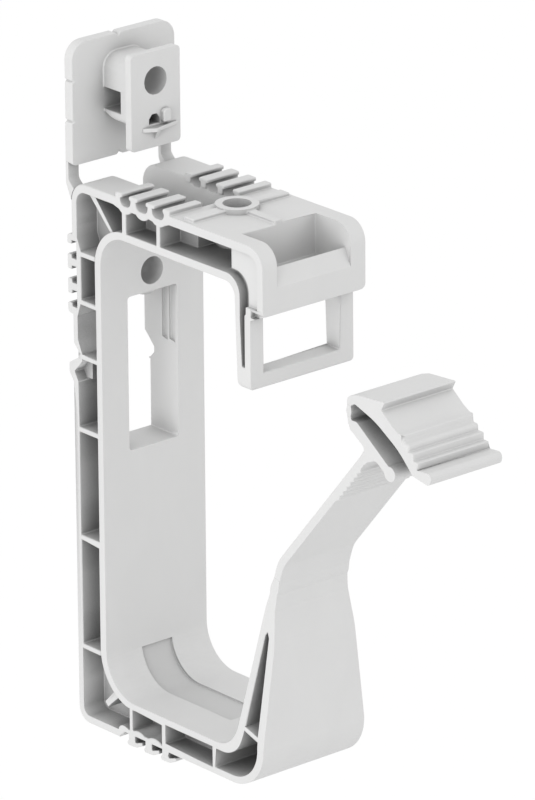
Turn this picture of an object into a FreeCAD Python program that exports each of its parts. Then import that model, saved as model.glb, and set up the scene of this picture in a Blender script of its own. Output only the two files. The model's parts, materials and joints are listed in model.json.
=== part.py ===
import FreeCAD, Part
import math
import os

os.makedirs("parts", exist_ok=True)

# Cable bundle holder: a ribbed C-shaped frame, a closing arm that bends at its foot and snaps into a
# window of the frame, the sprung latch lever on the arm's head, and a break-off fixing plate.
# Millimetres. X is the width, the open front faces -Y, Z is up, and the origin is the centre of the
# wall screw hole on the frame's back plane. Side profiles are drawn as (depth, height) pairs: depth
# runs forward from the back plane and height runs up from the frame's underside.

# Frame
WIDTH = 30.0
DEPTH = 65.4
HEIGHT = 129.3
HOLE_DROP = 22.2
SKIN = 1.6
INNER_SKIN = 2.0
LINER = 1.7
OUTER_SKIN = 2.0
BACK_BEAM = 10.0
TOP_BEAM = 9.7
FLOOR = 8.5
SIDE_POCKET = 6.1
DEEP_POCKET = 14.0
SHALLOW_POCKET = 0.9
WEB = 1.2
HEEL = 1.0
HEEL_LENGTH = 14.6
BASE_FOOT = 0.6
BASE_SKIN = 1.5
CHANNEL = 14.6
TOP_CHANNEL = 11.6
CORNER_R = 4.8
NOSE_R = 10.5
CAVITY_TOP_R = 8.0
CAVITY_BACK_R = 10.0
CAVITY_FRONT_R = 7.0
SCREW_R = 3.25
WALL_BOSS_R = 6.05
BOSS_R = 4.95
TOP_HOLE_DEPTH = 39.6
BOSS_RISE = 1.2
BOSS_RIB = 3.2
BOSS_RIB_RISE = 0.9

# Webs of the side beams: heights above the underside, heights from the wall hole, depths
LOW_WEBS = (16.8, 43.5, 69.7)
HIGH_WEBS = (-19.7, -6.7, 4.8)
BASE_WEBS = (17.8, 29.4)
TOP_WEBS = (17.8, 29.5)

# Back window, its guide grooves and the lobe on the beams beside it
WINDOW_DROP = 4.8
WINDOW_HEIGHT = 36.8
WINDOW_R = 0.8
GUIDE_LENGTH = 14.3
GUIDE_SINK = 0.6
LOBE_DROP = 22.5
LOBE = 1.55
LOBE_WIDTH = 3.6

# Recessed band in the cradle
CRADLE_BAND = 8.9
CRADLE_HEAD = 16.9
CRADLE_FRONT = 41.0

# Connector rails on the back, the top and the base
RAIL_PROUD = 1.7
RAIL_HEAD = 1.4
RAIL_SINK = 1.4
BACK_RAIL_PITCH = 5.8
RAIL_HOOK_DROP = 9.5
TOP_RAIL_START = 15.4
TOP_RAIL_PITCH = 5.8
TOP_RAIL = 1.7
TOP_RAIL_RISE = 1.2
TOP_RAIL_LIP = 0.6
TOP_GROOVE = 1.6
BASE_RAIL_START = 16.9
BASE_RAIL_PITCH = 5.9
BASE_RAIL_DROP = 2.7
BASE_RAIL = 2.2

# Latch frame at the front
FLANGE_STEP = 4.2
LEG = 2.0
TONGUE = 1.5
TONGUE_GAP = 3.5
SILL_DROP = 30.1
SILL = 3.6
LINTEL_DROP = 16.8
FLANGE_DROP = 15.5
FLANGE = 1.8
FLANGE_R = 1.3
LATCH_WINDOW = 22.2
RECESS = 21.4
RECESS_LENGTH = 11.8
LIP_DROP = 9.5
LIP_RISE = 4.1
SLOT_DEPTH = 2.6

# Closing arm
PIVOT_HEIGHT = 48.5
PIVOT_INSET = 2.0
ARM = 1.95
ARM_WIDTH = 20.8
ARM_ROOT_WIDTH = 29.2
ARM_REACH = 29.5
ARM_RISE = 38.9
ARM_REST_SLOPE = 72.5
KNUCKLE_R = 1.15
SEAT_GAP = 0.06
TOOTH_PITCH = 1.8
TOOTH_DROP = 0.9
TOOTH_COUNT = 7
LEG_LENGTH = 8.8
LEG_END_HALF = 1.2
BEAD_R = 1.75

# Latch lever
SPRING_BACK = 4.4
SPRING_RISE = 10.2
SPRING = 1.2
LEVER_KNUCKLE_R = 0.75
GRIP_RUN = 6.2
GRIP_FALL = 6.7
GRIP_RIB = 1.5
GRIP_COUNT = 4
GRIP_LIP_R = 1.1

# Fixing plate
PLATE = 2.6
PLATE_GAP = 3.5
PLATE_HEIGHT = 28.5
PLATE_R = 4.2
TAB = 1.9
TAB_FRONT = 12.0
TAB_INSET = 4.0
TAB_HEIGHT = 22.4
TAB_HOLE_RISE = 15.5
NECK = 11.6
NECK_FOOT = 10.3
NECK_HEAD = 5.0
STRIP = 0.9
STRIP_WIDTH = 3.0

HALF = WIDTH / 2
HOLE_HEIGHT = HEIGHT - HOLE_DROP
V = FreeCAD.Vector


def side(depth, height, x=0.0):
    """A point of a side profile in the part's own axes."""
    return V(x, -depth, height - HOLE_HEIGHT)


def front(x, height):
    """A point of a front view, in the back plane."""
    return V(x, 0, height - HOLE_HEIGHT)


def outline(corners, place=side):
    """A closed face through the corners. A third number rounds its corner with that radius."""
    corners = [c for i, c in enumerate(corners) if tuple(c[:2]) != tuple(corners[i - 1][:2])]
    points = [place(c[0], c[1]) for c in corners]
    pieces = []
    for i, corner in enumerate(corners):
        here = points[i]
        if len(corner) < 3:
            pieces.append([here])
            continue
        back = (points[i - 1] - here).normalize()
        ahead = (points[(i + 1) % len(points)] - here).normalize()
        half_angle = back.getAngle(ahead) / 2
        radius = corner[2]
        reach = radius / math.tan(half_angle)
        inward = (back + ahead).normalize()
        middle = here + inward * (radius / math.sin(half_angle) - radius)
        pieces.append([here + back * reach, middle, here + ahead * reach])
    edges = []
    for i, piece in enumerate(pieces):
        if len(piece) == 3:
            edges.append(Part.Arc(*piece).toShape())
        start = piece[-1]
        end = pieces[(i + 1) % len(pieces)][0]
        if start.distanceToPoint(end) > 1e-6:
            edges.append(Part.LineSegment(start, end).toShape())
    return Part.Face(Part.Wire(edges))


def bar(corners, x_low, x_high):
    """A side profile carried across the width."""
    face = outline(corners)
    face.translate(V(x_low, 0, 0))
    return face.extrude(V(x_high - x_low, 0, 0))


def box(depths, heights, x_low, x_high):
    """A plain block between two depths and two heights."""
    d, h = depths, heights
    return bar([(d[0], h[0]), (d[1], h[0]), (d[1], h[1]), (d[0], h[1])], x_low, x_high)


def slab(corners, depth_low, depth_high):
    """A front view carried forward between two depths."""
    face = outline(corners, front)
    face.translate(V(0, -depth_low, 0))
    return face.extrude(V(0, depth_low - depth_high, 0))


def band(spine, thickness):
    """Corners of a strip of even thickness along a spine of (depth, height, radius) points."""
    left = []
    right = []
    for i, point in enumerate(spine):
        before = spine[max(i - 1, 0)]
        after = spine[min(i + 1, len(spine) - 1)]
        turn_in = math.atan2(point[1] - before[1], point[0] - before[0])
        turn_out = math.atan2(after[1] - point[1], after[0] - point[0])
        if i == 0:
            turn_in = turn_out
        if i == len(spine) - 1:
            turn_out = turn_in
        middle = (turn_in + turn_out) / 2
        reach = thickness / 2 / math.cos((turn_out - turn_in) / 2)
        dx = -math.sin(middle) * reach
        dz = math.cos(middle) * reach
        bend = turn_out - turn_in
        radius = point[2] if len(point) > 2 else 0.0
        grow = math.copysign(thickness / 2, bend)
        for chain, sign in ((left, 1), (right, -1)):
            place = (point[0] + sign * dx, point[1] + sign * dz)
            if radius:
                place += (radius - sign * grow,)
            chain.append(place)
    return left + right[::-1]


def rod(point, radius, x_low, x_high):
    """A round bar across the width."""
    return Part.makeCylinder(radius, x_high - x_low, side(*point, x_low), V(1, 0, 0))


def both(shape):
    """A shape and its mirror image across the part's middle."""
    return [shape, shape.mirror(V(0, 0, 0), V(1, 0, 0))]


def shift(point, depth, height):
    """A point moved forward and up."""
    return (point[0] + depth, point[1] + height)


def around(point, corners):
    """Corners given as steps forward and up from a point, each with its radius if it has one."""
    return [shift(point, *corner[:2]) + tuple(corner[2:]) for corner in corners]


def ahead(point, angle, length):
    """A point a length away at an angle in degrees above level."""
    turn = math.radians(angle)
    return shift(point, length * math.cos(turn), length * math.sin(turn))


def one_solid(shape):
    """The single clean solid of a finished shape."""
    solid = shape.removeSplitter()
    if len(solid.Solids) != 1:
        raise ValueError("expected one solid, found %d" % len(solid.Solids))
    return solid.Solids[0]


# Places that follow from the sizes
ceiling = HEIGHT - TOP_BEAM
ceiling_in = ceiling + LINER
top_in = HEIGHT - OUTER_SKIN
web_back = BACK_BEAM - INNER_SKIN
floor_in = FLOOR - LINER
base_in = BASE_FOOT + BASE_SKIN
window_head = HOLE_HEIGHT - WINDOW_DROP
window_foot = window_head - WINDOW_HEIGHT
lobe = HOLE_HEIGHT - LOBE_DROP
leg_front = DEPTH - FLANGE_STEP
leg_back = leg_front - LEG
tongue_back = leg_front - TONGUE - TONGUE_GAP
flange_in = DEPTH - FLANGE
flange_foot = HEIGHT - FLANGE_DROP
lintel_foot = HEIGHT - LINTEL_DROP
sill_top = HEIGHT - SILL_DROP
sill_foot = sill_top - SILL
recess_back = DEPTH - RECESS_LENGTH
base_front = DEPTH - 18.5
lip_foot = HEIGHT - LIP_DROP
pivot = (DEPTH - PIVOT_INSET, PIVOT_HEIGHT)
knee = shift(pivot, 2.2, 6.7)
stem_top = shift(pivot, ARM_REACH, ARM_RISE)
lever_pivot = shift(stem_top, -SPRING_BACK, SPRING_RISE)

# Holder frame
arm_normal = ARM_REST_SLOPE - 90
foot_out = ahead(pivot, arm_normal, ARM / 2)
foot_in = ahead(pivot, arm_normal, -ARM / 2)
frame_profile = [
    (0, -HEEL, 3.6), (HEEL_LENGTH, -HEEL), (HEEL_LENGTH + 1.5, BASE_FOOT),
    (DEPTH - 0.9, BASE_FOOT - 0.1, NOSE_R),
    (DEPTH - 0.4, PIVOT_HEIGHT - 13.5, 30.0), shift(pivot, 0.6, -5.0) + (4.0,), foot_out, foot_in,
    shift(pivot, -2.5, -4.5) + (12.0,), (DEPTH - 10.8, FLOOR, CAVITY_FRONT_R),
    (BACK_BEAM, FLOOR, CAVITY_BACK_R),
    (BACK_BEAM, ceiling, CAVITY_TOP_R), (tongue_back - 0.2, ceiling - 0.2, 3.2),
    (tongue_back + 0.7, sill_foot, 1.8),
    (leg_front + 0.1, sill_foot, 0.8), (leg_front, flange_foot - 1.7), (DEPTH, flange_foot),
    (DEPTH, HEIGHT, CORNER_R), (0, HEIGHT, CORNER_R),
    (0, lobe + 6.4), (1.75, lobe + 4.6, 0.6), (1.75, lobe + 3.0, 0.8), (-LOBE, lobe + 1.1, 0.8),
    (-LOBE, lobe - 1.1, 0.8),
    (0, lobe - 3.3)]
frame = bar(frame_profile, -HALF, HALF)

# The arm's foot narrows upwards from the full width.
waist_foot = FLOOR + 2.0
waist = slab([(HALF + 2, waist_foot), (HALF + 0.1, waist_foot), (ARM_ROOT_WIDTH / 2, waist_foot + 4.0),
              (ARM_WIDTH / 2, PIVOT_HEIGHT - 2.0, WIDTH), (ARM_WIDTH / 2, PIVOT_HEIGHT + ARM_WIDTH / 2),
              (HALF + 2, PIVOT_HEIGHT + ARM_WIDTH / 2)], DEPTH - 11.6, DEPTH + 8.4)
cuts = both(waist)

# Side pockets of the back beam, the corner and the top and bottom beams
deep_start = TOP_HOLE_DEPTH - 3.0
ring = [
    (BASE_WEBS[1] + 0.6, base_in), (BASE_WEBS[1], base_in - 0.5), (BASE_WEBS[0], base_in - 0.5),
    (HEEL_LENGTH + 1.6, base_in), (HEEL_LENGTH, OUTER_SKIN - HEEL - 0.3),
    (SKIN, OUTER_SKIN - HEEL - 0.3, 2.0),
    (SKIN, lobe - 2.9), (0.2, lobe - 0.6, 0.4), (3.0, lobe + 2.4), (3.0, lobe + 4.2), (SKIN, lobe + 7.4),
    (SKIN, HOLE_HEIGHT - 9.6), (2.9, HOLE_HEIGHT - 6.6), (2.9, HOLE_HEIGHT + 6.3),
    (SKIN + 0.1, HOLE_HEIGHT + 9.1),
    (SKIN + 0.1, top_in, 3.0), (14.7, top_in), (16.4, top_in - 0.5), (33.0, top_in - 0.5), (33.7, top_in),
    (deep_start, top_in), (deep_start, ceiling_in), (web_back, ceiling_in, CAVITY_TOP_R + INNER_SKIN),
    (web_back, floor_in, CAVITY_BACK_R + INNER_SKIN), (base_front, floor_in), (base_front, base_in)]
pocket = bar(ring, -HALF - 1, -HALF + SIDE_POCKET)
back_webs = LOW_WEBS + tuple(HOLE_HEIGHT + h for h in HIGH_WEBS)
webs = [box((0, web_back), (h, h + WEB), -HALF, 0) for h in back_webs]
webs += [box((d, d + WEB), (0, FLOOR), -HALF, 0) for d in BASE_WEBS]
webs += [box((d, d + WEB), (ceiling, HEIGHT - 1), -HALF, 0) for d in TOP_WEBS]
webs.append(bar(band([(5.6, HEIGHT - 1), (14.0, ceiling)], WEB), -HALF + 0.6, 0))
webs.append(bar(band([(9.0, 5.1), (13.4, FLOOR + 1.1)], 1.7), -HALF + 0.6, 0))
webs.append(box((0, 3.2), (lobe - 2.6, lobe + 2.4), -HALF + LOBE_WIDTH - 0.8, 0))
for i in range(3):
    webs.append(rod((TOP_RAIL_START + 3.4 + i * TOP_RAIL_PITCH, HEIGHT - 0.5), 2.9, -HALF, 0))
for i in range(2):
    webs.append(rod((BASE_RAIL_START + 3.8 + i * BASE_RAIL_PITCH, BASE_FOOT - 2.9), 4.5, -HALF, 0))
webs.append(rod((HEEL_LENGTH + 1.1, BASE_FOOT - 0.3), 1.8, -HALF, 0))
pocket = pocket.cut(Part.makeCompound(webs))

# Deep pockets towards the front: top beam, nose and the wedge in the arm's foot
deep_end = recess_back - 1.7
pocket_end = recess_back + 0.4
slot_front = leg_back + 0.4
deep = [
    bar([(deep_start, ceiling_in), (deep_start, top_in), (deep_end, top_in), (deep_end, ceiling_in)],
        -HALF - 1, -HALF + DEEP_POCKET),
    bar([(deep_end, ceiling_in), (deep_end, top_in), (pocket_end, top_in), (pocket_end, ceiling_in)],
        -HALF - 1, -HALF + SLOT_DEPTH),
    bar([(base_front + WEB, base_in), (DEPTH - 2.6, base_in, 8.6), (DEPTH - 3.0, FLOOR + 4.0),
         (DEPTH - 7.7, FLOOR + 5.3),
         (DEPTH - 9.4, floor_in, 7.0), (base_front + WEB, floor_in)], -HALF - 1, -HALF + DEEP_POCKET),
    bar([(DEPTH - 7.4, FLOOR + 6.5), (DEPTH - 3.0, FLOOR + 5.2), (DEPTH - 2.5, PIVOT_HEIGHT - 11.3),
         (DEPTH - 3.2, PIVOT_HEIGHT - 10.3), (DEPTH - 3.9, PIVOT_HEIGHT - 11.3)], -HALF - 1,
        -HALF + DEEP_POCKET),
    bar([(pocket_end, ceiling_in), (pocket_end, ceiling_in + 0.9), (slot_front, ceiling_in + 0.9, 4.4),
         (slot_front, flange_foot - 0.6), (leg_back, flange_foot - 0.9), (leg_back, sill_top + 1.4),
         (leg_back - 0.9, sill_top + 1.4), (tongue_back + TONGUE, flange_foot - 2.0),
         (tongue_back + TONGUE, ceiling_in - 0.1, 4.6)], -HALF - 1, -HALF + SLOT_DEPTH),
    bar([(pocket_end, ceiling_in + 0.5), (pocket_end, top_in), (flange_in, top_in, 3.0),
         (flange_in, flange_foot + 1.1),
         (slot_front - 0.5, flange_foot + 1.1), (slot_front - 0.5, ceiling_in + 0.5, 4.0)],
        -HALF - 1, -HALF + SHALLOW_POCKET)]
cuts += both(pocket)
for shape in deep:
    cuts += both(shape)

# Open channels between the two side beams, behind the back wall, over the top and under the floor
half_channel = CHANNEL / 2
inner = TOP_CHANNEL / 2
channel = box((-3, web_back), (FLOOR + 9.5, ceiling - 5.1), -half_channel, half_channel)
bridges = [box((0, web_back), (h, h + WEB), -HALF, HALF) for h in (back_webs[1], back_webs[4],
                                                                   back_webs[5])]
bridges.append(box((0, web_back), (window_foot - 3.0, window_foot), -HALF, HALF))
bridges.append(Part.makeCylinder(WALL_BOSS_R, BACK_BEAM, V(0, 0, 0), V(0, -1, 0)))
channel = channel.cut(Part.makeCompound(bridges))
channel_end = TOP_HOLE_DEPTH - BOSS_R - 1.05
top_channel = box((-3, channel_end), (ceiling_in, HEIGHT + 3), -inner, inner)
base_channel = box((BASE_WEBS[0] + WEB, base_front), (-3, floor_in), -inner, inner)
base_channel = base_channel.cut(box((BASE_WEBS[1], BASE_WEBS[1] + WEB), (BASE_FOOT, FLOOR), -HALF, HALF))
cuts += [channel, top_channel, base_channel]

# The back window with its guide grooves, and the recessed band in the cradle
cuts.append(slab([(-half_channel, window_foot, WINDOW_R), (half_channel, window_foot, WINDOW_R),
                  (half_channel, window_head, WINDOW_R), (-half_channel, window_head, WINDOW_R)], -3,
                 BACK_BEAM + 1))
for depths in ((4.5, 6.4), (7.0, BACK_BEAM - 0.9)):
    cuts += both(box(depths, (window_head - GUIDE_LENGTH, window_head - 0.1), half_channel - 1,
                     half_channel + GUIDE_SINK))
half_cradle = CRADLE_BAND / 2
cradle = bar([(BACK_BEAM - 0.5, FLOOR - 0.5, CAVITY_BACK_R), (CRADLE_FRONT, FLOOR - 0.5),
              (CRADLE_FRONT, window_foot),
              (BACK_BEAM - 0.5, window_foot)], -half_cradle, half_cradle)
cuts.append(cradle.cut(box((0, DEPTH), (CRADLE_HEAD, HEIGHT), -HALF, HALF)))

# The lobes stand on the outer part of each beam only; towards the window the beam steps in instead.
cuts += both(bar([(-3, lobe - 2.7), (0, lobe - 2.7), (1.6, lobe - 1.1, 0.8), (1.6, lobe + 0.3, 0.8),
                  (-1.0, lobe + 3.0),
                  (-3, lobe + 3.0)], half_channel - 1, HALF - LOBE_WIDTH))

# Latch window, the hook space behind its lintel, and the recess with its sloping lip
half_window = LATCH_WINDOW / 2
cuts.append(bar([(tongue_back - 2, sill_top), (DEPTH, sill_top), (DEPTH, flange_foot - 2),
                 (leg_front + 0.4, lintel_foot),
                 (leg_back, lintel_foot), (leg_back, ceiling - 1.6), (tongue_back - 2, ceiling - 1.6)],
                -half_window, half_window))
cuts.append(bar([(recess_back, HEIGHT + 2), (recess_back, ceiling + 0.2), (leg_back + SKIN, ceiling + 0.2),
                 (leg_back + SKIN, flange_foot + 1.4), (flange_in, flange_foot + 1.4),
                 (flange_in, lip_foot + LIP_RISE),
                 (DEPTH, lip_foot), (DEPTH + FLANGE, lip_foot - LIP_RISE), (DEPTH + FLANGE, HEIGHT + 2)],
                -RECESS / 2, RECESS / 2))


def corner_cut(height, radius, depth_low, depth_high):
    """What rounds the lower outer corners of the latch frame in front view."""
    return slab([(HALF + 1, height - 1), (HALF + 1, height + radius), (HALF, height + radius),
                 (HALF, height, radius),
                 (HALF - radius, height), (HALF - radius, height - 1)], depth_low, depth_high)


flange_corner = corner_cut(flange_foot, FLANGE_R, leg_front + 0.2, DEPTH + 1)
cuts += both(flange_corner)
cuts += both(corner_cut(sill_foot, FLANGE_R, tongue_back - 2, DEPTH))

# Round grooves between the top rails, and the sunk back face under the back rails
rail_starts = [TOP_RAIL_START] + [TOP_RAIL_START - 0.5 + i * TOP_RAIL_PITCH for i in (1, 2, 3)]
for low, high in zip(rail_starts, rail_starts[1:]):
    groove = [(low + TOP_RAIL, HEIGHT + 0.1), (low + TOP_RAIL, HEIGHT - TOP_GROOVE, 1.4),
              (high, HEIGHT - TOP_GROOVE, 1.4), (high, HEIGHT + 0.1)]
    cuts.append(bar(groove, -HALF - 1, HALF + 1))
cuts.append(box((-1, RAIL_SINK), (HOLE_HEIGHT - 7.9, HOLE_HEIGHT + 8.2), -HALF - 1, HALF + 1))

frame = frame.cut(Part.makeCompound(cuts))

# Rails on the side beams: T rails on the back between a hook and a half rail, rails with lips on the
# top, hooked rails below
adds = []
head = -RAIL_PROUD + RAIL_HEAD
root = RAIL_SINK + 0.3
hook_foot = HOLE_HEIGHT - RAIL_HOOK_DROP
back_rails = [(hook_foot, 2.6, 0.0, 1.7, 1.1, 0.5), (hook_foot + 4.7, 3.6, 0.9, 2.7, 0.4, 0.4),
              (hook_foot + 4.7 + BACK_RAIL_PITCH, 3.6, 0.9, 2.7, 0.4, 0.4),
              (hook_foot + 4.9 + 2 * BACK_RAIL_PITCH, 2.4, 0.9, 2.4, 0.4, 0.9)]
for foot, rise, stem_low, stem_high, low_round, high_round in back_rails:
    rail = [(-RAIL_PROUD, foot, low_round), (head, foot), (head, foot + stem_low), (root, foot + stem_low),
            (root, foot + stem_high), (head, foot + stem_high), (head, foot + rise),
            (-RAIL_PROUD, foot + rise, high_round)]
    adds += both(bar(rail, half_channel, HALF))
for i, d in enumerate(rail_starts):
    low_lip = TOP_RAIL_LIP if i > 0 else 0
    high_lip = TOP_RAIL_LIP if i < 3 else 0
    rail_top = HEIGHT + TOP_RAIL_RISE
    rail = [(d, HEIGHT - 1.0), (d, HEIGHT + 0.2), (d - low_lip, HEIGHT + 0.3), (d - low_lip, rail_top, 0.4),
            (d + TOP_RAIL + high_lip, rail_top, 0.4), (d + TOP_RAIL + high_lip, HEIGHT + 0.3),
            (d + TOP_RAIL, HEIGHT + 0.2), (d + TOP_RAIL, HEIGHT - 1.0)]
    adds += both(bar(rail, inner - 0.4, HALF))
rail_low = BASE_FOOT - BASE_RAIL_DROP
for i in range(3):
    d = BASE_RAIL_START + i * BASE_RAIL_PITCH
    adds += both(bar([(d, rail_low + 0.6, 0.35), (d + 0.5, rail_low, 0.4), (d + 3.2, rail_low + 0.1, 1.5),
                      (d + 5.4, rail_low + 1.1, 0.3), (d + 5.3, rail_low + 1.9, 0.2),
                      (d + 0.6 + BASE_RAIL, rail_low + 1.1, 0.3), (d + 0.6 + BASE_RAIL, BASE_FOOT + 1.0),
                      (d + 0.6, BASE_FOOT + 1.0), (d + 0.6, rail_low + 1.3, 0.3)], inner, HALF))
adds += both(bar([(-RAIL_PROUD, lobe + 3.6, 0.4), (0.8, lobe + 1.4), (2.2, lobe + 1.4),
                  (2.2, hook_foot + 0.4),
                  (-RAIL_PROUD, hook_foot + 0.4)], half_channel, half_channel + 1.5))

# Ring and ribs of the top hole
boss = Part.makeCylinder(BOSS_R, HEIGHT + BOSS_RISE - ceiling - 0.5, side(TOP_HOLE_DEPTH, ceiling + 0.5),
                         V(0, 0, 1))
rib_top = HEIGHT + BOSS_RIB_RISE
rib_start = TOP_HOLE_DEPTH - BOSS_RIB / 2
adds.append(bar([(rib_start, HEIGHT - 1), (rib_start, rib_top, 0.4), (rib_start + BOSS_RIB, rib_top, 0.4),
                 (rib_start + BOSS_RIB, HEIGHT - 1)], -HALF + 1.0, HALF - 1.0))
adds.append(box((TOP_HOLE_DEPTH, recess_back), (HEIGHT - 1, rib_top - 0.1), -BOSS_RIB / 3, BOSS_RIB / 3))
adds.append(boss)
adds.append(Part.makeCylinder(WALL_BOSS_R, RAIL_PROUD + web_back + 0.5, V(0, RAIL_PROUD, 0), V(0, -1, 0)))
adds.append(rod(pivot, KNUCKLE_R, -ARM_WIDTH / 2, ARM_WIDTH / 2))
frame = frame.fuse(adds)

wall_hole = Part.makeCylinder(SCREW_R, 3 * BACK_BEAM, V(0, BACK_BEAM, 0), V(0, -1, 0))
top_hole = Part.makeCylinder(SCREW_R, 3 * TOP_BEAM, side(TOP_HOLE_DEPTH, ceiling - TOP_BEAM), V(0, 0, 1))
frame = one_solid(frame.cut([wall_hole, top_hole]))

# Closing arm
half_arm = ARM_WIDTH / 2
stem_slope = math.degrees(math.atan2(stem_top[1] - knee[1], stem_top[0] - knee[0]))
arm = bar(band([pivot, knee + (9.0,), stem_top], ARM), -half_arm, half_arm)

teeth = []
for i in range(TOOTH_COUNT):
    root = ahead(ahead(stem_top, stem_slope, -2.2 - i * TOOTH_PITCH), stem_slope - 90, ARM / 2)
    tail = ahead(root, stem_slope, -TOOTH_PITCH - 0.1)
    teeth.append(bar([root, shift(root, 0, -TOOTH_DROP), tail, ahead(tail, stem_slope + 90, 0.4),
                      ahead(root, stem_slope + 90, 0.4)], -half_arm, half_arm))
heel = ahead(stem_top, stem_slope - 90, ARM / 2 - 0.3)
leg_end = shift(stem_top, LEG_LENGTH, -0.8)
leg_side = ahead((0, 0), 53.0, LEG_END_HALF)
shoulder = bar([ahead(stem_top, stem_slope, -6), ahead(stem_top, stem_slope + 90, ARM / 2),
                shift(stem_top, 0.8, 2.9) + (1.0,), shift(stem_top, -4.3, 6.2) + (1.6,),
                shift(stem_top, -4.5, 8.2),
                shift(stem_top, -1.9, 8.3) + (1.4,), shift(leg_end, *leg_side),
                shift(leg_end, -leg_side[0], -leg_side[1]),
                shift(stem_top, 4.3, 1.0) + (1.4,), shift(stem_top, 1.4, -0.2) + (1.2,),
                ahead(heel, stem_slope, -2.4)],
               -half_arm, half_arm)
bead = rod(leg_end, BEAD_R, -half_arm, half_arm)
spring_foot = bar(band([shift(stem_top, -4.0, 7.2), shift(lever_pivot, 0, -1.2) + (1.5,), lever_pivot],
                       SPRING),
                  -half_arm, half_arm)
arm = arm.fuse(teeth + [shoulder, bead, spring_foot, rod(lever_pivot, LEVER_KNUCKLE_R, -half_arm,
                                                         half_arm)])
arm = one_solid(arm.cut(rod(pivot, KNUCKLE_R + SEAT_GAP, -HALF, HALF)))

# Latch lever
grip_start = shift(lever_pivot, 16.1, -0.9)
grip_end = shift(grip_start, GRIP_RUN, -GRIP_FALL)
lip = around(grip_end, [(4.5, 0.3, GRIP_LIP_R), (3.8, -2.7, GRIP_LIP_R), (-1.6, -1.7, 0.4)])
lever = bar(around(lever_pivot, [(-SPRING / 2, 0), (-SPRING / 2, 3.3, 1.6), (2.9, 4.4, 3.0),
                                 (11.6, 5.0, 0.2),
                                 (10.5, 3.0, 0.3), (14.1, 0.2)]) + [grip_start, grip_end] + lip
            + around(lever_pivot, [(16.1, -4.7, 20.0), (8.5, -0.1, 20.0), (1.9, 2.1, 0.8),
                                   (SPRING / 2, 1.4, 0.8),
                                   (SPRING / 2, 0)]), -half_arm, half_arm)
ribs = []
grip_slope = math.degrees(math.atan2(-GRIP_FALL, GRIP_RUN))
grip_pitch = math.hypot(GRIP_RUN, GRIP_FALL) / GRIP_COUNT
for i in range(GRIP_COUNT):
    valley = ahead(grip_start, grip_slope, i * grip_pitch)
    foot = ahead(valley, grip_slope, grip_pitch)
    buried = ahead(ahead(valley, grip_slope, grip_pitch / 2), grip_slope - 90, 0.6)
    ribs.append(bar([valley, shift(valley, GRIP_RIB, 0), foot, buried], -half_arm, half_arm))
lever = lever.fuse(ribs)
lever = one_solid(lever.cut(rod(lever_pivot, LEVER_KNUCKLE_R + SEAT_GAP, -HALF, HALF)))

# Fixing plate
plate_foot = HEIGHT + PLATE_GAP
plate_head = plate_foot + PLATE_HEIGHT
plate_front = PLATE - RAIL_PROUD
tab_back = TAB_FRONT - TAB
tab_foot = plate_foot + TAB_INSET
tab_hole = tab_foot + TAB_HOLE_RISE
plate = slab([(-HALF, plate_foot, 0.8), (HALF, plate_foot, 0.8), (HALF, plate_head, PLATE_R),
              (-HALF, plate_head, PLATE_R)],
             -RAIL_PROUD, plate_front)
nicks = []
for h in (tab_hole - 9.3, tab_hole + 0.1):
    nicks += both(slab([(HALF - 0.6, h), (HALF + 1, h - 1.0), (HALF + 1, h + 1.0)], -5, 5))
for h in (plate_foot, plate_head):
    nicks.append(slab([(-1.4, h - 0.7), (-0.7, h), (-1.4, h + 0.7), (-2.1, h)], -5, 5))
plate = plate.cut(Part.makeCompound(nicks))

half_neck = NECK / 2
neck_foot = tab_hole - NECK_FOOT
neck_head = tab_hole + NECK_HEAD
neck = slab([(-half_neck, neck_foot, 1.5), (half_neck, neck_foot, 1.5), (half_neck, neck_head, 3.6),
             (-half_neck, neck_head, 3.6)], plate_front - 0.3, tab_back + 0.3)
neck = neck.cut([box((plate_front, tab_back - 3.5), (tab_hole - 7.9, tab_hole - 2.9), -HALF, HALF),
                 bar([(-1, neck_foot - 1), (plate_front, neck_foot + 2), (tab_back - 2.4, neck_foot - 1)],
                     -HALF, HALF)])
half_tab = half_channel - 0.15
tab = slab([(-half_tab, tab_foot, 1.0), (half_tab, tab_foot, 1.0), (half_tab, tab_foot + TAB_HEIGHT, 1.0),
            (-half_tab, tab_foot + TAB_HEIGHT, 1.0)], tab_back, TAB_FRONT)

# Small marks under the tab's hole: an eye, a three-sided shelf, a fin under it and a flap beside it
mark = (0, tab_hole - 10.0)
eye = slab(around(mark, [(-1.9, 0), (1.1, 0), (1.1, 1.3), (0.3, 2.2), (-1.0, 2.2), (-1.9, 1.1)]),
           tab_back - 3, TAB_FRONT + 2)
shelf_top = mark[1] - 0.5
shelf = Part.Face(Part.makePolygon([side(TAB_FRONT + d, shelf_top, x) for d, x in (
    (-0.5, -3.9), (0.2, -3.9), (2.0, -1.1), (1.2, 2.0), (0.4, 6.0), (-0.5, 6.0), (-0.5, -3.9))]))
shelf = shelf.extrude(V(0, 0, -0.9))
fin = bar([(TAB_FRONT - 0.5, shelf_top - 3.0), (TAB_FRONT + 0.1, shelf_top - 3.0),
           (TAB_FRONT + 1.4, shelf_top - 0.6),
           (TAB_FRONT - 0.5, shelf_top - 0.6)], -0.5, 0.5)
flap = slab(around(mark, [(1.4, 0.2), (3.6, 0.2), (3.6, 3.2, 0.8), (1.4, 3.2, 0.8)]), TAB_FRONT - 0.5,
            TAB_FRONT + 1.2)
plate = plate.fuse([neck, tab, shelf, fin, flap])

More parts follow.
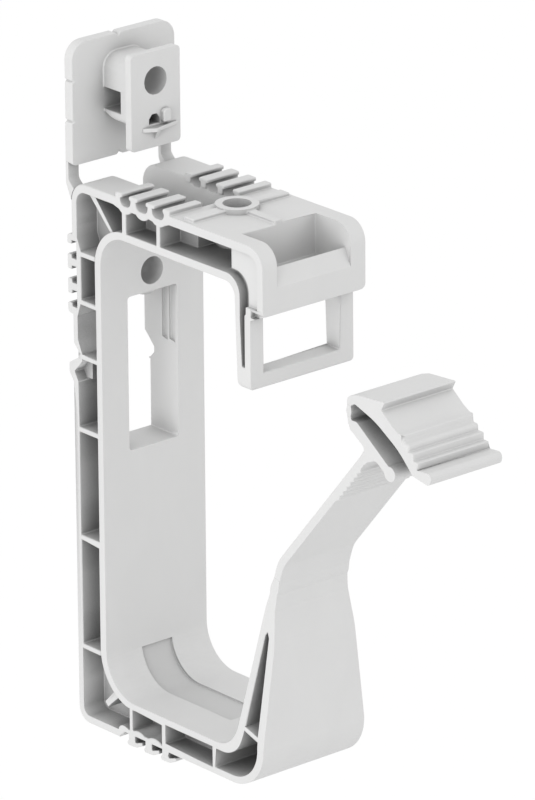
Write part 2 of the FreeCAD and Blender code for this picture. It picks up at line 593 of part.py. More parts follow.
strip = bar([(-RAIL_PROUD, plate_foot + 0.5), (STRIP - RAIL_PROUD, plate_foot + 0.5),
             (STRIP - RAIL_PROUD, HEIGHT - 0.1, 1.5),
             (1.5, HEIGHT - 2.3), (1.0, HEIGHT - 4.7), (0, HEIGHT - 4.7), (-RAIL_PROUD, HEIGHT - 0.9, 1.5)],
            -HALF, -HALF + STRIP_WIDTH)
plate = plate.fuse(both(strip))
tab_bore = Part.makeCylinder(SCREW_R, 3 * TAB_FRONT, side(-TAB_FRONT, tab_hole), V(0, -1, 0))
plate = one_solid(plate.cut([frame, tab_bore, eye]))

for name, shape in (("holder_frame", frame), ("closing_arm", arm), ("latch_lever", lever),
                    ("fixing_plate", plate)):
    shape.exportStep("parts/%s.step" % name)
    print(name, round(shape.Volume, 1), shape.BoundBox)
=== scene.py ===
"""The looks of the cable bundle holder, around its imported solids."""

import itertools
import json
import math

import bmesh
import bpy
from bpy.props import FloatProperty, FloatVectorProperty, IntProperty, PointerProperty
from mathutils import Matrix, Vector
from mathutils.geometry import intersect_line_line_2d, intersect_point_line


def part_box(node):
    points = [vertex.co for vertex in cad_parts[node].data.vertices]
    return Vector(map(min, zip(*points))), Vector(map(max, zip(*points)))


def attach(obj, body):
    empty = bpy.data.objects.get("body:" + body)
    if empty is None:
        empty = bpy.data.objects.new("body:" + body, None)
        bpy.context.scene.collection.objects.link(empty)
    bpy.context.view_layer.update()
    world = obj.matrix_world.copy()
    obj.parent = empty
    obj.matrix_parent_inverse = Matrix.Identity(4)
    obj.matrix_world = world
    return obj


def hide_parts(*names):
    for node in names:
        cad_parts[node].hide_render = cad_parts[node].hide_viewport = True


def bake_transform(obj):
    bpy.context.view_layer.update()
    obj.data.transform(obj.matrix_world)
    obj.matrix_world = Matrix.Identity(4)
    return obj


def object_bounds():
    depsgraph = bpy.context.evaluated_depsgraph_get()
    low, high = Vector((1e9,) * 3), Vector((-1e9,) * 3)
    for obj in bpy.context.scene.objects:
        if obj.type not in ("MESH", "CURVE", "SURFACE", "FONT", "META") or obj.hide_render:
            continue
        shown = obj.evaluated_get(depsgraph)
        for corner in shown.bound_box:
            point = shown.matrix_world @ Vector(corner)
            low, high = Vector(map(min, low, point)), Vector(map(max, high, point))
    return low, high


bl_info = {
    "name": "Cable bundle holder",
    "version": (1, 0, 0),
    "blender": (4, 5, 0),
    "location": "View3D > Sidebar > Holder",
    "description": "Moulded grey cable bundle holder with a bending arm and a break-off fixing plate",
    "category": "Object",
}

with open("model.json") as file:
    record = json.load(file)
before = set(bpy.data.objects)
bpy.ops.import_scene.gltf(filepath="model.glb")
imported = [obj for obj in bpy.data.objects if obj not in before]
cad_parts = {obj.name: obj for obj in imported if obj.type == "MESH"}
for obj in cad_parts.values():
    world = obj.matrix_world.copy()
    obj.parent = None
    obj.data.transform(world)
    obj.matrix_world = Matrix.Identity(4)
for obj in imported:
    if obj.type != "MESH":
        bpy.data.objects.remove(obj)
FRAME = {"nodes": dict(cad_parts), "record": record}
CAD_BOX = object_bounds()
JOINTS = {joint["name"]: joint for joint in FRAME["record"]["behaviour"]["joints"]}
ARM_BEND = Vector(JOINTS["arm_close"]["pos_m"])
LEVER_BEND = Vector(JOINTS["lever_press"]["pos_m"])
ARM_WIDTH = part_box("closing_arm")[1][0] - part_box("closing_arm")[0][0]
OPENINGS = {opening["name"]: opening["box_m"] for opening in FRAME["record"]["physics"]["openings"]}
BORES = [mount for mount in FRAME["record"]["mounts"] if mount["kind"] == "bore"]
MM = 0.001

# Faces that meet at more than this angle meet at a sharp edge.
SHARP = math.radians(30)

# Where along an edge the room beside it is measured, as shares of its length.
PROBES = (0.04, 0.5, 0.96)

# Twice the area, in square metres, from which a triangle that is turned over counts as a fold.
LEAST_FOLD = 1e-9

# How often the rounding near a fold is halved, and what counts as near at first, in roundings.
FOLD_TRIES = 8
FOLD_REACH = 1.6

WHITE = (1, 1, 1, 1)

# The recessed band in the cradle: it lies inside these two corners.
CRADLE_BAND = ((-4.47 * MM, -41.0 * MM, -99.3 * MM), (4.47 * MM, -9.3 * MM, -90.2 * MM))


# Sizes and colours


class PlasticSizes(bpy.types.PropertyGroup):
    """The moulded plastic's colour and grain, and the shade painted into its pockets and holes."""

    colour: FloatVectorProperty(
        name="Colour", description="Colour of the plastic", subtype="COLOR", size=3, min=0, max=1,
        default=(0.690, 0.690, 0.688))
    cloud_colour: FloatVectorProperty(
        name="Flow colour", description="Colour of the slightly paler streaks where the melt flowed",
        subtype="COLOR", size=3, min=0, max=1, default=(0.725, 0.725, 0.722))
    cloud_size: FloatProperty(
        name="Flow size", description="Size of the pale streaks", unit="LENGTH", default=9 * MM)
    cloud_stretch: FloatProperty(
        name="Flow stretch", description="How fast the streaks change upwards, as a share of sideways",
        default=0.45)
    # Painted shade: pockets and corners are mixed toward this dark colour where ambient occlusion finds
    # walls near, between the two open shares below.
    painted_shade_colour: FloatVectorProperty(
        name="Recess colour", description="Colour of the dull bottoms of the pockets", subtype="COLOR",
        size=3, min=0, max=1, default=(0.16, 0.16, 0.16))
    painted_shade_reach: FloatProperty(
        name="Recess reach", description="How near a wall has to be for a surface to count as a recess",
        unit="LENGTH", default=9 * MM)
    painted_shade_full: FloatProperty(
        name="Recess depth", description="Open share of the surroundings at which a recess is fully dull",
        min=0, max=1, default=0.15)
    painted_shade_edge: FloatProperty(
        name="Recess rim", description="Open share of the surroundings at which a recess ends",
        min=0, max=1, default=0.80)
    roughness: FloatProperty(
        name="Roughness", description="Mean roughness of the matte surface", min=0, max=1, default=0.52)
    roughness_spread: FloatProperty(
        name="Roughness spread", description="How much the roughness varies over the surface",
        min=0, max=0.5, default=0.10)
    grain_size: FloatProperty(
        name="Grain size", description="Size of the spark-eroded grain", unit="LENGTH", default=0.16 * MM)
    grain_depth: FloatProperty(
        name="Grain depth", description="Depth of the spark-eroded grain", unit="LENGTH",
        default=0.008 * MM)
    wave_size: FloatProperty(
        name="Wave size", description="Width of the shallow waves of a moulded wall", unit="LENGTH",
        default=4.5 * MM)
    wave_depth: FloatProperty(
        name="Wave depth", description="Depth of the shallow waves of a moulded wall", unit="LENGTH",
        default=0.012 * MM)
    # Painted shade is held back on the walls of the screw holes and of the two openings: each shade here
    # is the most painted shade these walls get.
    hole_shade: FloatProperty(
        name="Hole shade", description="How dull the walls of the screw holes are", min=0, max=1,
        default=0.45)
    hole_margin: FloatProperty(
        name="Hole margin", description="How far round a screw hole its shade reaches", unit="LENGTH",
        default=0.2 * MM)
    window_shade: FloatProperty(
        name="Window shade", description="How dull the walls of the front recess and the back window are",
        min=0, max=1, default=0.22)
    window_margin: FloatProperty(
        name="Window margin", description="How far round these two openings their shade reaches",
        unit="LENGTH", default=1.6 * MM)
    # Band shade: how far the recessed band in the cradle is darkened further toward the painted shade
    # colour.
    band_shade: FloatProperty(
        name="Band shade", description="How dull the recessed band in the cradle is", min=0, max=1,
        default=0.20)


class EdgeSizes(bpy.types.PropertyGroup):
    """The rounding of the moulding's edges."""

    edge_round: FloatProperty(
        name="Edge rounding", description="Widest rounding of the moulding's edges", unit="LENGTH",
        default=0.28 * MM)
    sill_round: FloatProperty(
        name="Sill rounding", description="Widest rounding at the height of the latch frame's lower end",
        unit="LENGTH", default=0.7 * MM)
    sill_depth: FloatProperty(
        name="Sill depth", description="How far behind the latch window's front the sill rounding reaches",
        unit="LENGTH", default=7 * MM)
    sill_top: FloatProperty(
        name="Sill top", description="How far below the latch window the sill rounding starts",
        unit="LENGTH", default=3.5 * MM)
    sill_bottom: FloatProperty(
        name="Sill bottom", description="How far below the latch window the sill rounding ends",
        unit="LENGTH", default=6 * MM)
    least_round: FloatProperty(
        name="Least rounding", description="Edges with less room than this stay sharp", unit="LENGTH",
        default=0.04 * MM)
    share_across: FloatProperty(
        name="Share across", description="Share of a face's width that one rounding takes at most",
        min=0, max=0.5, default=0.45)
    share_along: FloatProperty(
        name="Share along", description="Share of the room at its ends that a rounding takes at most",
        min=0, max=1, default=0.60)
    share_in_bend: FloatProperty(
        name="Share in a bend", description="How much more of that room a gently bending edge may take",
        default=1.5)
    steps: IntProperty(name="Steps", description="Faces across a rounded edge", min=1, max=4, default=2)
    merge: FloatProperty(
        name="Merge distance", description="Corners of the solid's mesh that are nearer than this are one",
        unit="LENGTH", default=0.002 * MM)
    flat: FloatProperty(
        name="Flat angle", description="Faces that meet at less than this angle become one",
        subtype="ANGLE", default=math.radians(0.6))


class BendSizes(bpy.types.PropertyGroup):
    """The two places where the moulding bends."""

    arm_half: FloatProperty(
        name="Arm half thickness", description="Half the arm's thickness beside its bend", unit="LENGTH",
        default=0.975 * MM)
    arm_swell: FloatProperty(
        name="Arm swelling", description="How far the bend stands out over the arm", unit="LENGTH",
        default=0.30 * MM)
    arm_reach: FloatProperty(
        name="Arm reach", description="Length of the bend each way", unit="LENGTH", default=2.8 * MM)
    arm_slope: FloatProperty(
        name="Arm slope", description="Slope of the arm at its bend", subtype="ANGLE",
        default=math.radians(72.5))
    lever_half: FloatProperty(
        name="Lever half thickness", description="Half the lever's thickness beside its bend",
        unit="LENGTH", default=0.60 * MM)
    lever_swell: FloatProperty(
        name="Lever swelling", description="How far the bend stands out over the lever", unit="LENGTH",
        default=0.24 * MM)
    lever_reach: FloatProperty(
        name="Lever reach", description="Length of the bend each way", unit="LENGTH", default=1.35 * MM)
    lever_slope: FloatProperty(
        name="Lever slope", description="Slope of the lever at its bend", subtype="ANGLE",
        default=math.radians(90))
    sunk: FloatProperty(
        name="Sunk ends", description="How far under the surface a bend starts and ends", unit="LENGTH",
        default=0.04 * MM)
    side_swell: FloatProperty(
        name="Side swelling", description="How far a bend stands out at the sides", unit="LENGTH",
        default=0.03 * MM)
    crease: FloatProperty(
        name="Crease angle", description="Faces of a bend that meet at more than this are shaded apart",
        subtype="ANGLE", default=math.radians(40))
    steps: IntProperty(name="Steps", description="Rings of faces along a bend", min=4, max=64, default=24)


class StudioSizes(bpy.types.PropertyGroup):
    """The camera, the floor and the lamps."""

    camera_place: FloatVectorProperty(
        name="Camera place", description="Where the camera stands", subtype="TRANSLATION", size=3,
        default=(-0.97926, -1.18713, 0.53350))
    camera_azimuth: FloatProperty(
        name="Camera azimuth", description="Turn of the camera about the upright", subtype="ANGLE",
        default=math.radians(-40.72))
    camera_elevation: FloatProperty(
        name="Camera elevation", description="How far the camera looks down", subtype="ANGLE",
        default=math.radians(20.25))
    camera_roll: FloatProperty(
        name="Camera roll", description="Tilt of the camera's horizon", subtype="ANGLE",
        default=math.radians(-0.40))
    lens: FloatProperty(name="Lens", description="Focal length in millimetres", default=324.5)
    floor_drop: FloatProperty(
        name="Floor drop", description="Height of the holder above the floor", unit="LENGTH", default=0.16)
    floor_colour: FloatVectorProperty(
        name="Floor colour", description="Colour of the floor", subtype="COLOR", size=3, min=0, max=1,
        default=(0.86, 0.86, 0.86))
    floor_tint: FloatProperty(
        name="Floor tint", description="Brightness of the floor's faint specks, as a share of the floor's",
        default=0.98)
    floor_size: FloatProperty(
        name="Floor size", description="Half the width of the floor", unit="LENGTH", default=4.0)
    floor_seen: FloatProperty(
        name="Floor seen white", description="Share of plain white in the floor that the camera sees",
        min=0, max=1, default=0.87)
    floor_mirrored: FloatProperty(
        name="Floor mirrored white", description="Share of plain white in the floor that is mirrored",
        min=0, max=1, default=0.5)
    floor_white: FloatProperty(
        name="Floor white", description="Strength of that plain white", default=1.03)
    sky: FloatProperty(
        name="Sky strength", description="Strength of the even light from all sides", default=0.93)
    lamp_size: FloatProperty(
        name="Lamp size", description="Width of each round lamp", unit="LENGTH", default=0.8)
    front_place: FloatVectorProperty(
        name="Front place", description="Where the front lamp is, from the holder's middle",
        subtype="TRANSLATION", size=3, default=(-0.70, -1.22, 0.10))
    front_power: FloatProperty(
        name="Front power", description="Power of the lamp at the front left", default=0.5)
    upper_place: FloatVectorProperty(
        name="Upper place", description="Where the upper lamp is, from the holder's middle",
        subtype="TRANSLATION", size=3, default=(-0.70, -0.10, 1.22))
    upper_power: FloatProperty(
        name="Upper power", description="Power of the lamp at the upper left", default=0.1)
    side_place: FloatVectorProperty(
        name="Side place", description="Where the side lamp is, from the holder's middle",
        subtype="TRANSLATION", size=3, default=(-1.35, -0.35, 0.20))
    side_power: FloatProperty(
        name="Side power", description="Power of the lamp at the near side", default=4.5)


# Shader maths as Python expressions


class Wire:
    """A number socket of a material. Arithmetic on it adds Math nodes."""

    def __init__(self, finish, socket):
        self.finish = finish
        self.socket = socket

    def _maths(self, operation, first, second):
        return self.finish.add("ShaderNodeMath", {"operation": operation}, {0: first, 1: second})

    def __add__(self, other):
        return self._maths("ADD", self, other)

    __radd__ = __add__

    def __mul__(self, other):
        return self._maths("MULTIPLY", self, other)

    __rmul__ = __mul__

    def __sub__(self, other):
        return self._maths("SUBTRACT", self, other)

    def __rsub__(self, other):
        return self._maths("SUBTRACT", other, self)

    def larger(self, other):
        return self._maths("MAXIMUM", self, other)


class Finish:
    """The nodes of a material or a world, added one expression at a time."""

    def __init__(self, holder, output="ShaderNodeOutputMaterial"):
        holder.use_nodes = True
        self.holder = holder
        self.tree = holder.node_tree
        self.tree.nodes.clear()
        self.output = self.tree.nodes.new(output)

    def add(self, kind, settings=None, inputs=None, result=0):
        """Adds a node, with its settings first and then the values or links of its sockets."""
        node = self.tree.nodes.new(kind)
        for key, value in (settings or {}).items():
            setattr(node, key, value)
        for key, value in (inputs or {}).items():
            if isinstance(value, Wire):
                self.tree.links.new(value.socket, node.inputs[key])
            else:
                node.inputs[key].default_value = value
        return Wire(self, node.outputs[result])

    def parts(self, vector):
        """The three numbers of a vector."""
        split = self.add("ShaderNodeSeparateXYZ", {}, {0: vector}).socket.node
        return [Wire(self, socket) for socket in split.outputs]

    def surface(self, shader):
        """Ends the nodes with a shader and gives the material or the world they belong to."""
        self.tree.links.new(shader.socket, self.output.inputs["Surface"])
        return self.holder


def moulded_plastic(sizes):
    """Matte grey plastic with a fine eroded grain, shallow waves and faint flow streaks, and shade painted
    into its recesses.
    """
    finish = Finish(bpy.data.materials.new("moulded_plastic"))
    place = finish.add("ShaderNodeTexCoord", result="Object")

    def cloud(size, detail, roughness=0.5):
        return finish.add("ShaderNodeTexNoise", {"noise_dimensions": "3D"},
                          {"Vector": place, "Scale": 1 / size, "Detail": detail, "Roughness": roughness})

    def inside(low, high, spare=0.0):
        """One inside a box that is widened by spare, and nothing outside it."""
        mask = 1.0
        for axis in range(3):
            middle = (low[axis] + high[axis]) / 2
            half = (high[axis] - low[axis]) / 2 + spare
            mask = finish.add("ShaderNodeMath", {"operation": "COMPARE"},
                              {0: parts[axis], 1: middle, 2: half}) * mask
        return mask

    parts = finish.parts(place)
    stretched = finish.add("ShaderNodeMapping", {},
                           {"Vector": place, "Scale": (1.0, 1.0, sizes.cloud_stretch)})
    streaks = finish.add("ShaderNodeTexNoise", {},
                         {"Vector": stretched, "Scale": 1 / sizes.cloud_size, "Detail": 3.0,
                          "Distortion": 0.6})
    grain = cloud(sizes.grain_size, 2.0, 0.6)
    waves = cloud(sizes.wave_size, 1.0)
    flow = finish.add("ShaderNodeMix", {"data_type": "RGBA"},
                      {0: streaks, 6: (*sizes.colour, 1), 7: (*sizes.cloud_colour, 1)}, result=2)
    # Painted shade: where ambient occlusion finds walls near, the colour is mixed toward the dark painted
    # shade colour.
    openness = finish.add("ShaderNodeAmbientOcclusion", {"samples": 6}, {"Distance": sizes.painted_shade_reach},
                          result="AO")
    unshaded_share = finish.add("ShaderNodeMapRange", {"clamp": True},
                           {"Value": openness, "From Min": sizes.painted_shade_full,
                            "From Max": sizes.painted_shade_edge})
    # The walls of the front recess, the back window and the screw holes get less painted shade.
    for name in ("front_recess", "back_window"):
        walls = inside(*OPENINGS[name], sizes.window_margin)
        unshaded_share = unshaded_share.larger(walls * (1 - sizes.window_shade))
    for bore in BORES:
        centre = Vector(bore["pos_m"])
        length, radius = bore["dims"]["length_mm"], bore["dims"]["r_mm"]
        reach = Vector([length if axis else radius for axis in bore["axis"]]) * MM
        walls = inside(centre - reach, centre + reach, sizes.hole_margin)
        unshaded_share = unshaded_share.larger(walls * (1 - sizes.hole_shade))
    # The band in the cradle is darkened further toward the painted shade colour.
    unshaded_share = unshaded_share * (1 - inside(*CRADLE_BAND) * sizes.band_shade)
    colour = finish.add("ShaderNodeMix", {"data_type": "RGBA"},
                        {0: unshaded_share, 6: (*sizes.painted_shade_colour, 1), 7: flow}, result=2)
    roughness = sizes.roughness + (cloud(sizes.wave_size / 3, 4.0, 0.6) - 0.5) * sizes.roughness_spread
    height = grain * sizes.grain_depth + waves * sizes.wave_depth
    bump = finish.add("ShaderNodeBump", {}, {"Strength": 1.0, "Distance": 1.0, "Height": height})
    shader = finish.add("ShaderNodeBsdfPrincipled", {}, {
        "Base Color": colour, "Roughness": roughness, "Normal": bump, "IOR": 1.49})
    return finish.surface(shader)


def plastic():
    return bpy.data.materials.get("moulded_plastic") or moulded_plastic(bpy.context.scene.plastic_sizes)


def new_piece(name, shape, body):
    """Stores a bmesh as a piece of the object, with its place in its mesh."""
    mesh = bpy.data.meshes.new(name)
    shape.to_mesh(mesh)
    shape.free()
    piece = bpy.data.objects.new(name, mesh)
    bpy.context.scene.collection.objects.link(piece)
    piece.data.materials.append(plastic())
    if body:
        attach(piece, body)
    return piece


def smooth_runs(edges):
    """Sorts edges into runs that turn gently from one edge to the next."""
    left = dict.fromkeys(edges)
    for first in edges:
        if first not in left:
            continue
        del left[first]
        run = [first]
        for edge in run:
            for vertex in edge.verts:
                ahead = vertex.co - edge.other_vert(vertex).co
                for near in vertex.link_edges:
                    if near in left and ahead.angle(near.other_vert(vertex).co - vertex.co, 0.0) < SHARP:
                        del left[near]
                        run.append(near)
        yield run


def room_across(loop):
    """How far a face reaches from one of its edges, at the middle and near both ends."""
    start, end = loop.vert.co, loop.link_loop_next.vert.co
    along = (end - start).normalized()
    inward = loop.face.normal.cross(along)
    depths = [math.inf]
    for share in PROBES:
        point = start.lerp(end, share)
        for other in loop.face.edges:
            first, second = (vertex.co - point for vertex in other.verts)
            low, high = first.dot(along), second.dot(along)
            if other is not loop.edge and low * high < 0:
                depths.append(first.lerp(second, low / (low - high)).dot(inward))
    return min(depth for depth in depths if depth > 0)


def room_at_ends(loop, sharp, share_in_bend):
    """How wide an edge can be rounded before its ends meet or run past the next corners."""
    length = loop.edge.calc_length()
    rooms = [math.inf]
    bend = 0.0
    last, next_one = loop.link_loop_prev, loop.link_loop_next
    for near, vertex in ((last, loop.vert), (next_one, next_one.vert)):
        there = near.edge.other_vert(vertex).co - vertex.co
        turn = (vertex.co - loop.edge.other_vert(vertex).co).angle(there, 0.0)
        if near.edge in sharp and turn < SHARP:
            bend += math.tan(turn / 2)
        else:
            rooms += [there.length * math.sin(turn), length * abs(math.tan(turn))]
    if bend > 0:
        rooms.append(share_in_bend * length / bend)
    return min(rooms)


def weigh_edges(shape, sizes):
    """Weighs the sharp edges for the rounding, each smooth run of them alike, and gives the runs."""
    weight = shape.edges.layers.float.new("bevel_weight_edge")
    window = Vector(OPENINGS["latch_window"][0])
    edges = [edge for edge in shape.edges if edge.is_manifold and edge.calc_face_angle() > SHARP]
    sharp = set(edges)
    shape.edges.index_update()
    runs = []
    for run in smooth_runs(edges):
        on_sill = any(vertex.co.y < window.y + sizes.sill_depth
                      and sizes.sill_top < window.z - vertex.co.z < sizes.sill_bottom
                      for edge in run for vertex in edge.verts)
        loops = [loop for edge in run for loop in edge.link_loops]
        across = min(room_across(loop) for loop in loops)
        along = min(room_at_ends(loop, sharp, sizes.share_in_bend) for loop in loops)
        radius = min(sizes.sill_round if on_sill else sizes.edge_round,
                     sizes.share_across * across, sizes.share_along * along)
        if radius > sizes.least_round:
            runs.append([edge.index for edge in run])
            for edge in run:
                edge[weight] = radius / sizes.sill_round
    return runs


def crossings(mesh, face):
    """Where the outline of a face crosses itself, seen along its normal."""
    across = face.normal.orthogonal().normalized()
    up = face.normal.cross(across)
    corners = [mesh.vertices[index].co.copy() for index in face.vertices]
    flat = [Vector((corner.dot(across), corner.dot(up))) for corner in corners]
    sides = list(zip(flat, flat[1:] + flat[:1]))
    points = []
    for first, second in itertools.combinations(range(len(sides)), 2):
        if second - first > 1 and second - first < len(sides) - 1:
            meet = intersect_line_line_2d(*sides[first], *sides[second])
            if meet is not None:
                points.append(across * meet.x + up * meet.y + face.normal * corners[0].dot(face.normal))
    return points or corners


def folds(piece):
    """Where the rounded mesh of a piece folds over itself."""
    rounded = piece.evaluated_get(bpy.context.evaluated_depsgraph_get())
    mesh = rounded.to_mesh()
    mesh.calc_loop_triangles()
    turned = set()
    for triangle in mesh.loop_triangles:
        first, second, third = (mesh.vertices[index].co for index in triangle.vertices)
        face = mesh.polygons[triangle.polygon_index]
        if (second - first).cross(third - first).dot(face.normal) < -LEAST_FOLD:
            turned.add(face.index)
    points = [point for index in sorted(turned) for point in crossings(mesh, mesh.polygons[index])]
    rounded.to_mesh_clear()
    return points


def to_side(point, start, end):
    """How far a point is from the line between two others."""
    share = intersect_point_line(point, start, end)[1]
    return (point - start.lerp(end, min(max(share, 0.0), 1.0))).length


def ease_folds(piece, runs, sizes):
    """Halves the rounding of the runs near a fold, and looks further from the fold each time."""
    mesh = piece.data
    weights = [0.0] * len(mesh.edges)
    mesh.attributes["bevel_weight_edge"].data.foreach_get("value", weights)
    places = [vertex.co.copy() for vertex in mesh.vertices]
    sides = [[[places[index] for index in mesh.edges[edge].vertices] for edge in run] for run in runs]
    for attempt in range(FOLD_TRIES):
        points = folds(piece)
        if not points:
            break
        for run, ends in zip(runs, sides):
            radius = weights[run[0]] * sizes.sill_round
            near = (FOLD_REACH + attempt) * radius + sizes.least_round
            if radius > 0 and any(to_side(point, *pair) < near for pair in ends for point in points):
                share = 0.5 if radius >= 2 * sizes.least_round else 0.0
                for edge in run:
                    weights[edge] *= share
        mesh.attributes["bevel_weight_edge"].data.foreach_set("value", weights)
        mesh.update()
        bpy.context.view_layer.update()


def moulded_copy(node, name, body):
    """A piece in place of a CAD node: its merged mesh with smooth curves and rounded edges."""
    sizes = bpy.context.scene.edge_sizes
    shape = bmesh.new()
    shape.from_mesh(FRAME["nodes"][node].data)
    bmesh.ops.remove_doubles(shape, verts=shape.verts, dist=sizes.merge)
    bmesh.ops.dissolve_limit(shape, angle_limit=sizes.flat, verts=shape.verts, edges=shape.edges,
                             use_dissolve_boundaries=False, delimit={"NORMAL"})
    runs = weigh_edges(shape, sizes)
    piece = new_piece(name, shape, body)
    piece.data.shade_smooth()
    piece.data.set_sharp_from_angle(angle=SHARP)
    rounding = piece.modifiers.new("rounded edges", "BEVEL")
    rounding.width = sizes.sill_round
    rounding.segments = sizes.steps
    rounding.limit_method = "WEIGHT"
    rounding.use_clamp_overlap = False
    ease_folds(piece, runs, sizes)
    evening = piece.modifiers.new("even shading", "WEIGHTED_NORMAL")
    evening.keep_sharp = True
    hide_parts(node)
    return piece


def bend_skin(name, pivot, slope, half, swell, reach):
    """A strip that swells smoothly over a bend."""
    sizes = bpy.context.scene.bend_sizes
    shape = bmesh.new()
    bmesh.ops.create_cube(shape, size=2.0)
    long_edges = [edge for edge in shape.edges if edge.verts[0].co.z != edge.verts[1].co.z]
    bmesh.ops.subdivide_edges(shape, edges=long_edges, cuts=sizes.steps - 1)
    along = Vector((0, -math.cos(slope), math.sin(slope)))
    across = Vector((0, -math.sin(slope), -math.cos(slope)))
    for vertex in shape.verts:
        side, depth, step = vertex.co
        lift = (1 + math.cos(math.pi * step)) / 2
        thickness = half - sizes.sunk + (swell + sizes.sunk) * lift
        place = pivot + along * step * reach + across * depth * thickness
        vertex.co = Vector((side * (ARM_WIDTH / 2 + sizes.side_swell * lift), place.y, place.z))
    bmesh.ops.recalc_face_normals(shape, faces=shape.faces)
    piece = new_piece(name, shape, None)
    piece.data.shade_smooth()
    piece.data.set_sharp_from_angle(angle=sizes.crease)
    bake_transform(piece)
    return piece


# Operators


class HOLDER_OT_frame(bpy.types.Operator):
    """The C-shaped frame with its ribs, rails and latch window"""

    bl_idname = "holder.frame"
    bl_label = "Holder frame"

    def execute(self, context):
        moulded_copy("holder_frame", "frame_moulding", "frame")
        return {"FINISHED"}


class HOLDER_OT_plate(bpy.types.Operator):
    """The break-off fixing plate on its two strips"""

    bl_idname = "holder.plate"
    bl_label = "Fixing plate"

    def execute(self, context):
        moulded_copy("fixing_plate", "plate_moulding", "frame")
        return {"FINISHED"}


class HOLDER_OT_arm(bpy.types.Operator):
    """The closing arm and the latch lever on its head"""

    bl_idname = "holder.arm"
    bl_label = "Closing arm and lever"

    def execute(self, context):
        moulded_copy("closing_arm", "arm_moulding", "arm")
        moulded_copy("latch_lever", "lever_moulding", "lever")
        return {"FINISHED"}


class HOLDER_OT_bends(bpy.types.Operator):
    """The two places where the thin plastic bends"""

    bl_idname = "holder.bends"
    bl_label = "Bends"

    def execute(self, context):
        sizes = context.scene.bend_sizes
        bend_skin("arm_bend", ARM_BEND, sizes.arm_slope, sizes.arm_half, sizes.arm_swell, sizes.arm_reach)
        bend_skin("lever_bend", LEVER_BEND, sizes.lever_slope, sizes.lever_half, sizes.lever_swell,
                  sizes.lever_reach)
        return {"FINISHED"}


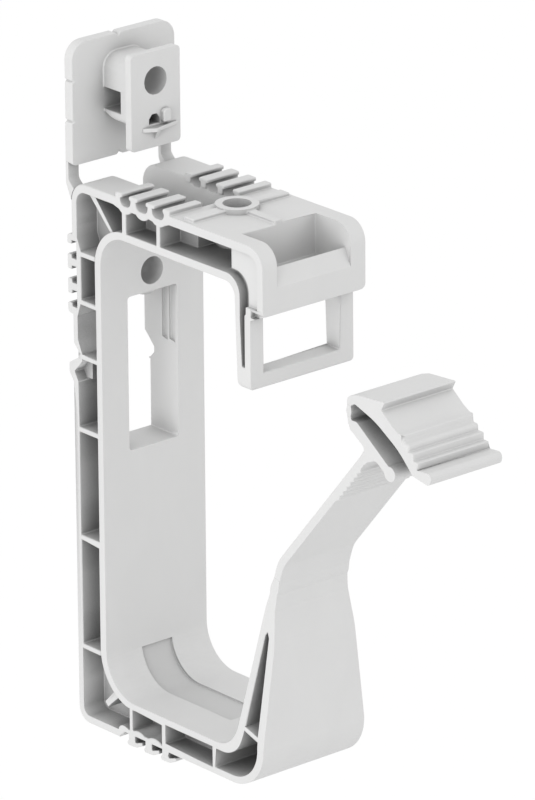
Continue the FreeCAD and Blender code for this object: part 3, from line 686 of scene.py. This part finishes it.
class HOLDER_OT_studio(bpy.types.Operator):
    """The floor, the lamps, the even light and the camera"""

    bl_idname = "holder.studio"
    bl_label = "Studio"

    def execute(self, context):
        sizes = context.scene.studio_sizes
        self.floor(sizes)
        self.sky(context, sizes)
        centre = (Vector(CAD_BOX[0]) + Vector(CAD_BOX[1])) / 2
        self.lamp("front_lamp", centre, sizes.front_place, sizes.lamp_size, sizes.front_power)
        self.lamp("upper_lamp", centre, sizes.upper_place, sizes.lamp_size, sizes.upper_power)
        self.lamp("side_lamp", centre, sizes.side_place, sizes.lamp_size, sizes.side_power)
        self.camera(context, sizes)
        context.scene.view_settings.view_transform = "Standard"
        return {"FINISHED"}

    def floor(self, sizes):
        shape = bmesh.new()
        bmesh.ops.create_grid(shape, x_segments=1, y_segments=1, size=sizes.floor_size)
        bmesh.ops.translate(shape, verts=shape.verts, vec=(0, 0, CAD_BOX[0][2] - sizes.floor_drop))
        mesh = bpy.data.meshes.new("floor")
        shape.to_mesh(mesh)
        shape.free()
        floor = bpy.data.objects.new("floor", mesh)
        bpy.context.scene.collection.objects.link(floor)
        finish = Finish(bpy.data.materials.new("pale_floor"))
        place = finish.add("ShaderNodeTexCoord", result="Object")
        speck = finish.add("ShaderNodeTexNoise", {}, {"Vector": place, "Scale": 30.0, "Detail": 4.0})
        tint = tuple(c * sizes.floor_tint for c in sizes.floor_colour)
        colour = finish.add("ShaderNodeMix", {"data_type": "RGBA"},
                            {0: speck, 6: (*sizes.floor_colour, 1), 7: (*tint, 1)}, result=2)
        matte = finish.add("ShaderNodeBsdfPrincipled", {}, {"Base Color": colour, "Roughness": 0.9})
        white = finish.add("ShaderNodeEmission", {}, {"Color": WHITE, "Strength": sizes.floor_white})
        straight = finish.add("ShaderNodeLightPath", result="Is Camera Ray")
        glossy = finish.add("ShaderNodeLightPath", result="Is Glossy Ray")
        passing = finish.add("ShaderNodeLightPath", result="Is Transmission Ray")
        seen = straight * sizes.floor_seen + glossy * sizes.floor_mirrored + passing * sizes.floor_mirrored
        mesh.materials.append(finish.surface(
            finish.add("ShaderNodeMixShader", {}, {0: seen, 1: matte, 2: white})))

    def sky(self, context, sizes):
        finish = Finish(bpy.data.worlds.new("even_light"), "ShaderNodeOutputWorld")
        straight = finish.add("ShaderNodeLightPath", result="Is Camera Ray")
        glossy = finish.add("ShaderNodeLightPath", result="Is Glossy Ray")
        passing = finish.add("ShaderNodeLightPath", result="Is Transmission Ray")
        light = finish.add("ShaderNodeBackground", {}, {"Color": WHITE, "Strength": sizes.sky})
        shown = finish.add("ShaderNodeBackground", {}, {"Color": WHITE})
        seen = straight.larger(glossy.larger(passing))
        context.scene.world = finish.surface(
            finish.add("ShaderNodeMixShader", {}, {0: seen, 1: light, 2: shown}))

    def lamp(self, name, centre, place, size, power):
        light = bpy.data.lights.new(name, "AREA")
        light.shape = "DISK"
        light.size = size
        light.energy = power
        lamp = bpy.data.objects.new(name, light)
        lamp.location = centre + Vector(place)
        lamp.rotation_euler = (-Vector(place)).to_track_quat("-Z", "Y").to_euler()
        bpy.context.scene.collection.objects.link(lamp)

    def camera(self, context, sizes):
        data = bpy.data.cameras.new("camera")
        data.lens = sizes.lens
        data.sensor_width = 36.0
        data.sensor_fit = "AUTO"
        data.clip_end = 20.0
        camera = bpy.data.objects.new("camera", data)
        turn = (Matrix.Rotation(sizes.camera_azimuth, 4, "Z")
                @ Matrix.Rotation(math.pi / 2 - sizes.camera_elevation, 4, "X")
                @ Matrix.Rotation(sizes.camera_roll, 4, "Z"))
        camera.matrix_world = Matrix.Translation(sizes.camera_place) @ turn
        context.scene.collection.objects.link(camera)
        context.scene.camera = camera


class HOLDER_PT_panel(bpy.types.Panel):
    """Lists the holder's pieces"""

    bl_label = "Cable bundle holder"
    bl_idname = "HOLDER_PT_panel"
    bl_space_type = "VIEW_3D"
    bl_region_type = "UI"
    bl_category = "Holder"

    def draw(self, context):
        scene = context.scene
        for label, group in (("Plastic", scene.plastic_sizes), ("Edges", scene.edge_sizes),
                             ("Bends", scene.bend_sizes), ("Studio", scene.studio_sizes)):
            box = self.layout.box()
            box.label(text=label)
            for key in group.__annotations__:
                box.prop(group, key)
        for operator in PIECES:
            self.layout.operator(operator.bl_idname)


GROUPS = {
    "plastic_sizes": PlasticSizes,
    "edge_sizes": EdgeSizes,
    "bend_sizes": BendSizes,
    "studio_sizes": StudioSizes,
}
PIECES = (HOLDER_OT_frame, HOLDER_OT_plate, HOLDER_OT_arm, HOLDER_OT_bends, HOLDER_OT_studio)


def register():
    for name, group in GROUPS.items():
        bpy.utils.register_class(group)
        setattr(bpy.types.Scene, name, PointerProperty(type=group))
    for entry in PIECES + (HOLDER_PT_panel,):
        bpy.utils.register_class(entry)


def unregister():
    for entry in (HOLDER_PT_panel,) + PIECES[::-1]:
        bpy.utils.unregister_class(entry)
    for name, group in GROUPS.items():
        delattr(bpy.types.Scene, name)
        bpy.utils.unregister_class(group)


def main():
    register()
    bpy.ops.holder.frame()
    bpy.ops.holder.plate()
    bpy.ops.holder.arm()
    bpy.ops.holder.bends()
    bpy.ops.holder.studio()


if __name__ == "__main__":
    main()
